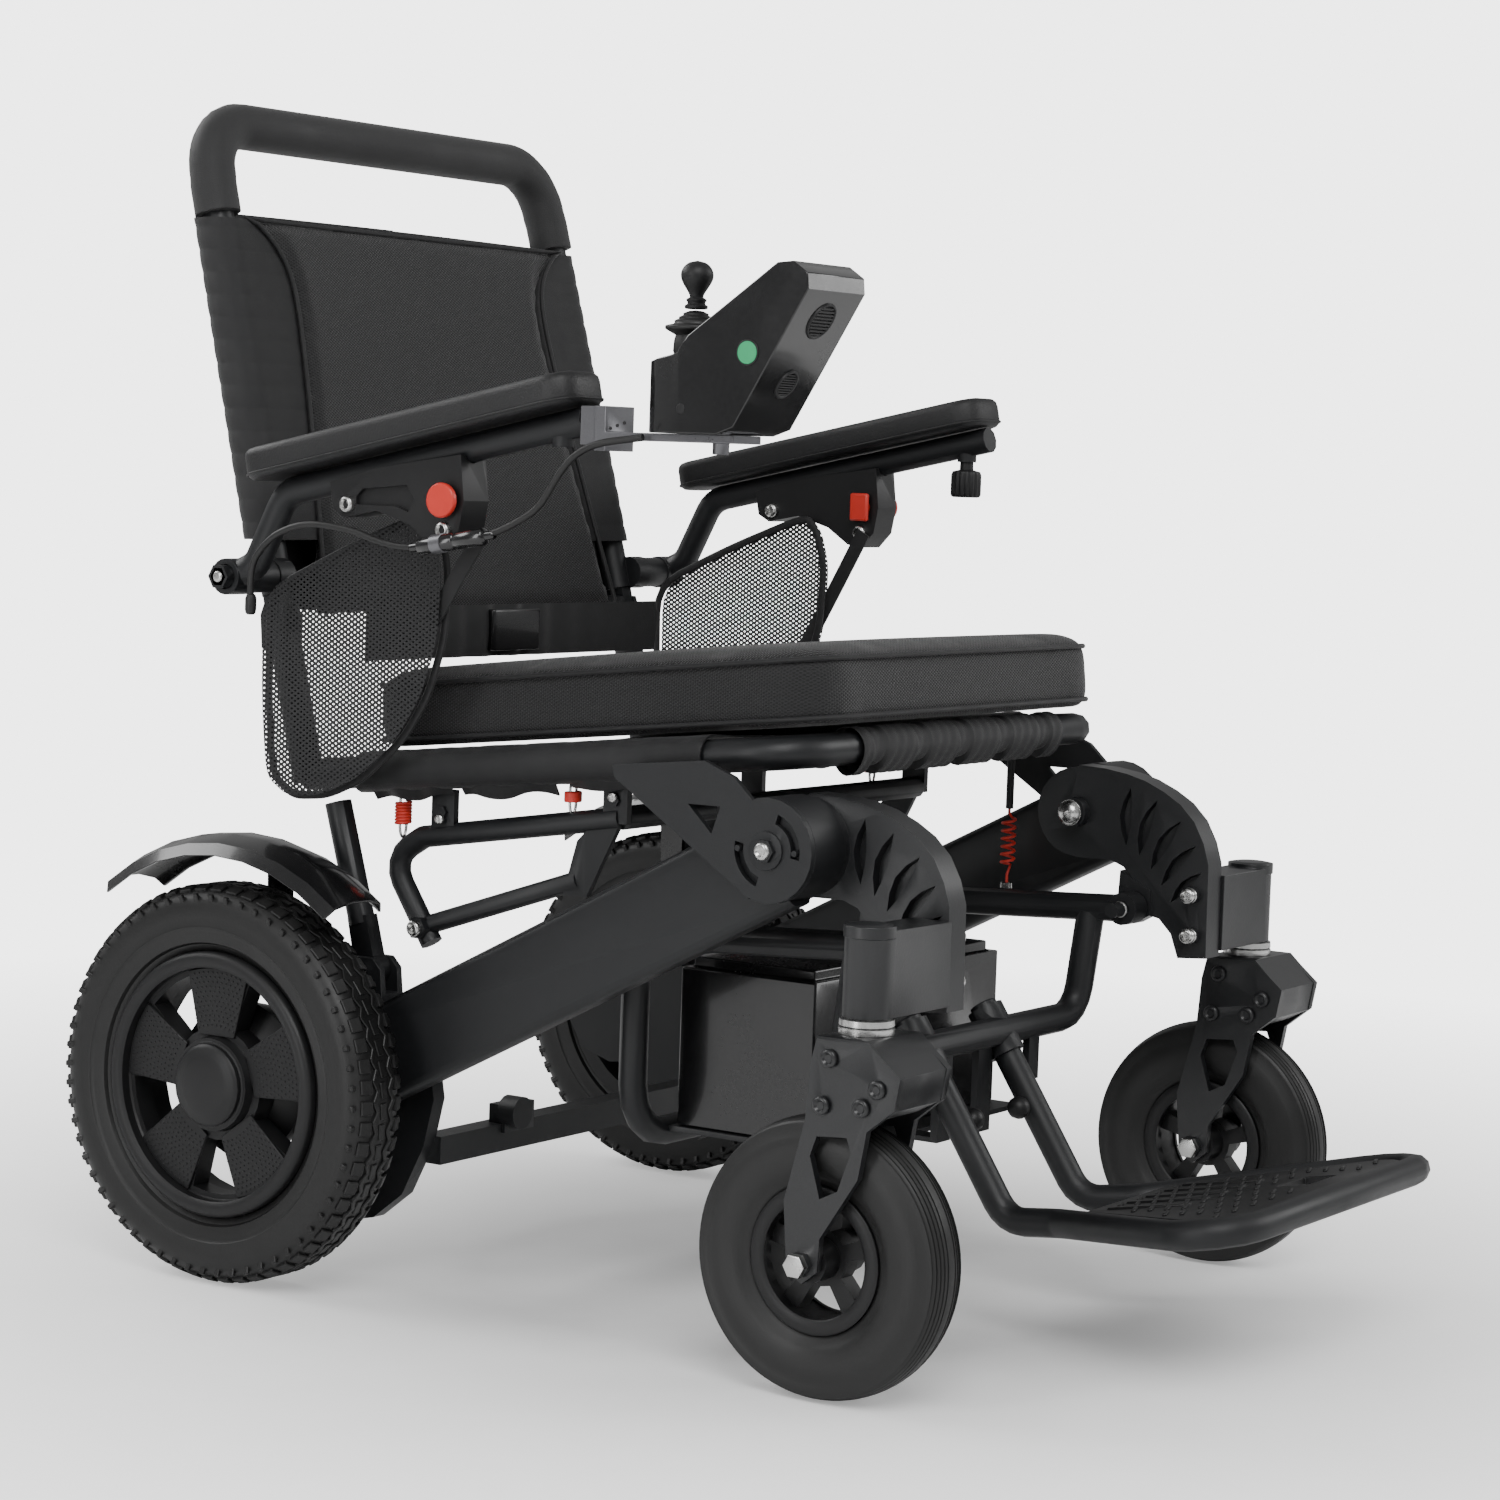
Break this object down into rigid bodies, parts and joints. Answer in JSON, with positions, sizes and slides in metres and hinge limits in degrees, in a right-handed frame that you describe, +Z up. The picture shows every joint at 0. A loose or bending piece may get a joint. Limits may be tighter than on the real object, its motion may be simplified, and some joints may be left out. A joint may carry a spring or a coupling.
{
  "type": "power wheelchair",
  "caption": "Folding power wheelchair with hub-drive rear wheels, swivel casters, padded seat and back, flip-up armrests, joystick control and footrest.",
  "frame": {"origin": "centre of the bounding box in plan, on the ground the tyres stand on", "axes": "+Z up, the chair faces -Y, its own right-hand side is -X, X runs across the chair"},
  "size_m": [0.678, 0.9629, 0.9214],
  "materials": {
    "powder_coat": "satin black powder coat",
    "cast_black": "black coated die casting",
    "gloss_black": "glossy black moulding",
    "matte_black": "fine-grained black moulding",
    "tyre_rubber": "black tyre rubber",
    "soft_rubber": "black soft rubber",
    "foam_grip": "closed-cell foam sleeve",
    "pad_skin": "grained self-skinned foam",
    "air_mesh": "black spacer mesh over foam",
    "nylon": "woven black nylon",
    "net": "open black net",
    "red_paint": "red painted spring wire",
    "red_plastic": "red moulding",
    "bright_steel": "bright zinc plated steel"
  },
  "bodies": {
    "rear_frame": {"side_beam_left": "powder_coat", "side_beam_right": "powder_coat", "rear_subframe": "powder_coat", "fender_left": "gloss_black", "fender_right": "gloss_black"},
    "drive_wheel_left": {"rear_tyre_left": "tyre_rubber", "rear_wheel_left": "matte_black"},
    "drive_wheel_right": {"rear_tyre_right": "tyre_rubber", "rear_wheel_right": "matte_black"},
    "strut_left": {"rear_strut_left": "powder_coat"},
    "strut_right": {"rear_strut_right": "powder_coat"},
    "front_frame": {"cast_arm_left": "cast_black", "cast_arm_right": "cast_black", "caster_head_left": "cast_black", "caster_head_right": "cast_black"},
    "swivel_left": {"caster_fork_left": "cast_black"},
    "swivel_right": {"caster_fork_right": "cast_black"},
    "front_wheel_left": {"caster_tyre_left": "tyre_rubber", "caster_wheel_left": "matte_black"},
    "front_wheel_right": {"caster_tyre_right": "tyre_rubber", "caster_wheel_right": "matte_black"},
    "hanger": {"footrest_hanger": "powder_coat", "battery": "matte_black"},
    "footrest": {"footrest_loop": "powder_coat", "footplate": "matte_black"},
    "foot_knob_left": {"footrest_knob_left": "matte_black"},
    "foot_knob_right": {"footrest_knob_right": "matte_black"},
    "seat": {"seat_frame": "powder_coat", "side_plate_left": "powder_coat", "side_plate_right": "powder_coat", "seat_subframe": "powder_coat", "spring_rear_left": "red_paint", "spring_rear_right": "red_paint", "spring_front_left": "red_paint", "spring_front_right": "red_paint", "seat_sling": "nylon", "seat_cushion": "air_mesh", "lap_belt": "nylon"},
    "backrest": {"back_frame": "powder_coat", "handle_foam": "foam_grip", "back_sling": "air_mesh"},
    "arm_link_left": {"arm_pivot_left": "bright_steel"},
    "arm_link_right": {"arm_pivot_right": "bright_steel"},
    "armrest_left": {"arm_frame_left": "powder_coat", "arm_pad_left": "pad_skin", "arm_bracket_left": "matte_black", "side_guard_left": "net"},
    "armrest_right": {"arm_frame_right": "powder_coat", "arm_pad_right": "pad_skin", "arm_bracket_right": "matte_black", "side_guard_right": "net", "controller_case": "gloss_black", "controller_mount": "bright_steel", "controller_lead": "soft_rubber"},
    "release_left": {"arm_button_left": "red_plastic"},
    "release_right": {"arm_button_right": "red_plastic"},
    "stick_gimbal": {"joystick_boot": "soft_rubber"},
    "stick": {"joystick": "gloss_black"},
    "power_key": {"power_button": "matte_black"},
    "clamp_knob_left": {"clamp_knob": "matte_black"}
  },
  "joints": [
    {"name": "front_fold", "type": "hinge", "parent": "rear_frame", "child": "front_frame", "pos_m": [0, -0.1405, 0.374], "axis": [1, 0, 0], "range_deg": [0, 50]},
    {"name": "seat_fold", "type": "hinge", "parent": "rear_frame", "child": "seat", "pos_m": [0, -0.1405, 0.374], "axis": [1, 0, 0], "range_deg": [0, 60]},
    {"name": "strut_fold_left", "type": "hinge", "parent": "rear_frame", "child": "strut_left", "pos_m": [0.244, 0.2355, 0.248], "axis": [1, 0, 0], "range_deg": [0, 50]},
    {"name": "strut_fold_right", "type": "hinge", "parent": "rear_frame", "child": "strut_right", "pos_m": [-0.244, 0.2355, 0.248], "axis": [1, 0, 0], "range_deg": [0, 50]},
    {"name": "hanger_fold", "type": "hinge", "parent": "front_frame", "child": "hanger", "pos_m": [0, -0.1965, 0.3015], "axis": [1, 0, 0], "range_deg": [-50, 0]},
    {"name": "footrest_height", "type": "slide", "parent": "hanger", "child": "footrest", "axis": [0, 0.5497, 0.8353], "range_m": [-0.03, 0.03]},
    {"name": "foot_knob_turn_left", "type": "hinge", "parent": "footrest", "child": "foot_knob_left", "pos_m": [0.035, -0.18387, 0.15649], "axis": [1, 0, 0], "continuous": true},
    {"name": "foot_knob_turn_right", "type": "hinge", "parent": "footrest", "child": "foot_knob_right", "pos_m": [-0.035, -0.18387, 0.15649], "axis": [1, 0, 0], "continuous": true},
    {"name": "drive_wheel_spin_left", "type": "hinge", "parent": "rear_frame", "child": "drive_wheel_left", "pos_m": [0.303, 0.3255, 0.156], "axis": [1, 0, 0], "continuous": true},
    {"name": "caster_swivel_left", "type": "hinge", "parent": "front_frame", "child": "swivel_left", "pos_m": [0.2955, -0.2465, 0.3], "axis": [0, 0, 1], "continuous": true},
    {"name": "caster_spin_left", "type": "hinge", "parent": "swivel_left", "child": "front_wheel_left", "pos_m": [0.2955, -0.2221, 0.1], "axis": [1, 0, 0], "continuous": true},
    {"name": "drive_wheel_spin_right", "type": "hinge", "parent": "rear_frame", "child": "drive_wheel_right", "pos_m": [-0.303, 0.3255, 0.156], "axis": [1, 0, 0], "continuous": true},
    {"name": "caster_swivel_right", "type": "hinge", "parent": "front_frame", "child": "swivel_right", "pos_m": [-0.2955, -0.2465, 0.3], "axis": [0, 0, 1], "continuous": true},
    {"name": "caster_spin_right", "type": "hinge", "parent": "swivel_right", "child": "front_wheel_right", "pos_m": [-0.2955, -0.2221, 0.1], "axis": [1, 0, 0], "continuous": true},
    {"name": "back_fold", "type": "hinge", "parent": "seat", "child": "backrest", "pos_m": [0, 0.3494, 0.515], "axis": [1, 0, 0], "range_deg": [0, 86], "deforming": ["lap_belt"]},
    {"name": "arm_level_left", "type": "hinge", "parent": "backrest", "child": "arm_link_left", "pos_m": [0.27, 0.3455, 0.546], "axis": [1, 0, 0], "range_deg": [-86, 0]},
    {"name": "arm_flip_left", "type": "hinge", "parent": "arm_link_left", "child": "armrest_left", "pos_m": [0.2885, 0.3455, 0.546], "axis": [-1, 0, 0], "range_deg": [0, 90]},
    {"name": "release_press_left", "type": "slide", "parent": "armrest_left", "child": "release_left", "axis": [-1, 0, 0], "range_m": [0, 0.003], "stiffness_N_per_m": 400},
    {"name": "arm_level_right", "type": "hinge", "parent": "backrest", "child": "arm_link_right", "pos_m": [-0.27, 0.3455, 0.546], "axis": [1, 0, 0], "range_deg": [-86, 0]},
    {"name": "arm_flip_right", "type": "hinge", "parent": "arm_link_right", "child": "armrest_right", "pos_m": [-0.2885, 0.3455, 0.546], "axis": [-1, 0, 0], "range_deg": [0, 90]},
    {"name": "release_press_right", "type": "slide", "parent": "armrest_right", "child": "release_right", "axis": [1, 0, 0], "range_m": [0, 0.003], "stiffness_N_per_m": 400},
    {"name": "stick_tilt_forward", "type": "hinge", "parent": "armrest_right", "child": "stick_gimbal", "pos_m": [-0.2885, -0.0795, 0.726], "axis": [1, 0, 0], "range_deg": [-12, 12], "stiffness_Nm_per_rad": 0.6},
    {"name": "stick_tilt_side", "type": "hinge", "parent": "stick_gimbal", "child": "stick", "pos_m": [-0.2885, -0.0795, 0.726], "axis": [0, 1, 0], "range_deg": [-12, 12], "stiffness_Nm_per_rad": 0.6},
    {"name": "power_press", "type": "slide", "parent": "armrest_right", "child": "power_key", "axis": [0, -0.5495, -0.8355], "range_m": [0, 0.0015], "stiffness_N_per_m": 300},
    {"name": "clamp_knob_turn", "type": "hinge", "parent": "armrest_left", "child": "clamp_knob_left", "pos_m": [0.2885, 0.0335, 0.65], "axis": [0, 0, 1], "continuous": true}
  ],
  "couplings": [
    {"joint": "seat_fold", "follows": "front_fold", "ratio": 1.2},
    {"joint": "strut_fold_left", "follows": "front_fold", "ratio": 1},
    {"joint": "strut_fold_right", "follows": "front_fold", "ratio": 1},
    {"joint": "hanger_fold", "follows": "front_fold", "ratio": -1},
    {"joint": "arm_level_left", "follows": "back_fold", "ratio": -1},
    {"joint": "arm_level_right", "follows": "back_fold", "ratio": -1}
  ]
}
